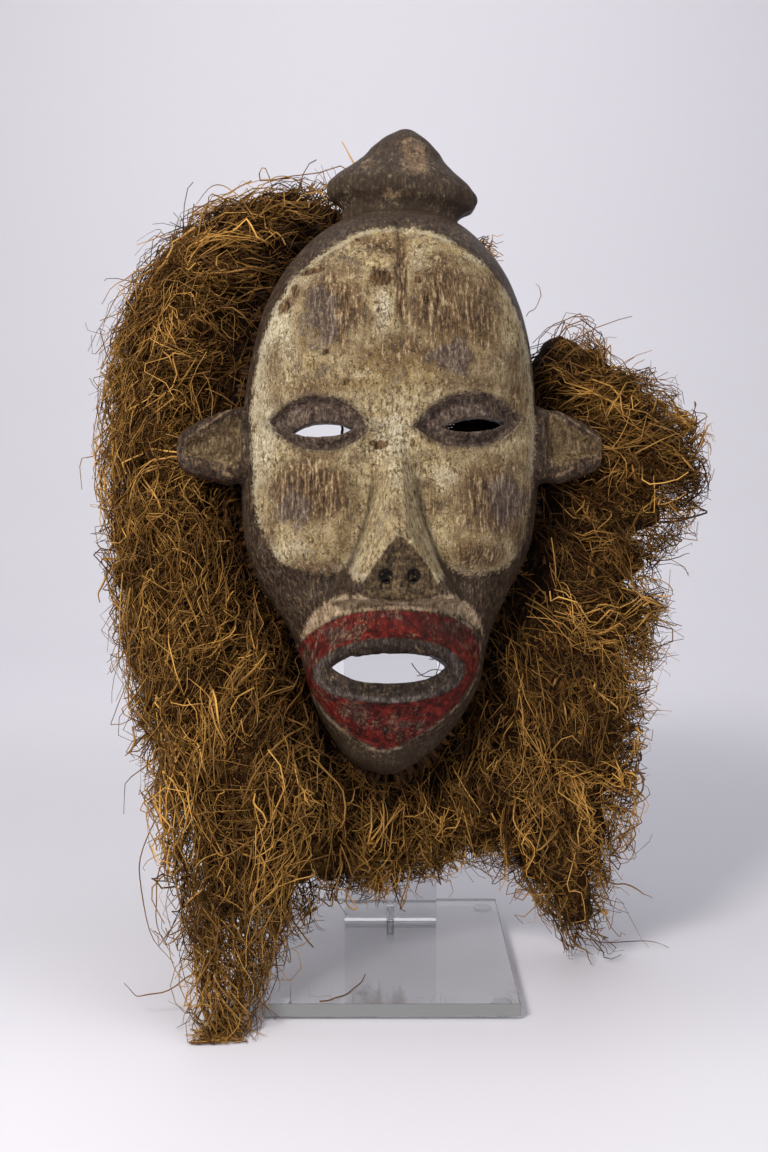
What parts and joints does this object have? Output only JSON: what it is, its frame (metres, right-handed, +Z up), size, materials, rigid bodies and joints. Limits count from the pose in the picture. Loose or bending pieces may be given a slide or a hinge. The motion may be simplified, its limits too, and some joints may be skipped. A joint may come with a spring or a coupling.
{
  "type": "yaka mask",
  "caption": "Carved wooden face mask with side ears, a knob on the crown and a ruff of raffia, standing on a clear acrylic display stand.",
  "frame": {"origin": "under the middle of the whole object's bounding box, on the surface that it stands on", "axes": "+Z up, -Y the way the face looks, +X to the right of someone who faces the mask"},
  "size_m": [0.3988, 0.2236, 0.5695],
  "materials": {
    "carved_wood": "carved and painted with worn cream, dark red and dark brown earth colours",
    "raffia": "dry golden brown fibre, matte",
    "clear_acrylic": "clear, polished edges",
    "clear_bumper": "clear, smooth"
  },
  "bodies": {
    "root": {"mask": "carved_wood", "raffia_ruff": "raffia", "base_plate": "clear_acrylic", "upright": "clear_acrylic", "peg": "clear_acrylic", "foot_front_left": "clear_bumper", "foot_front_right": "clear_bumper", "foot_rear_left": "clear_bumper", "foot_rear_right": "clear_bumper"}
  },
  "joints": []
}
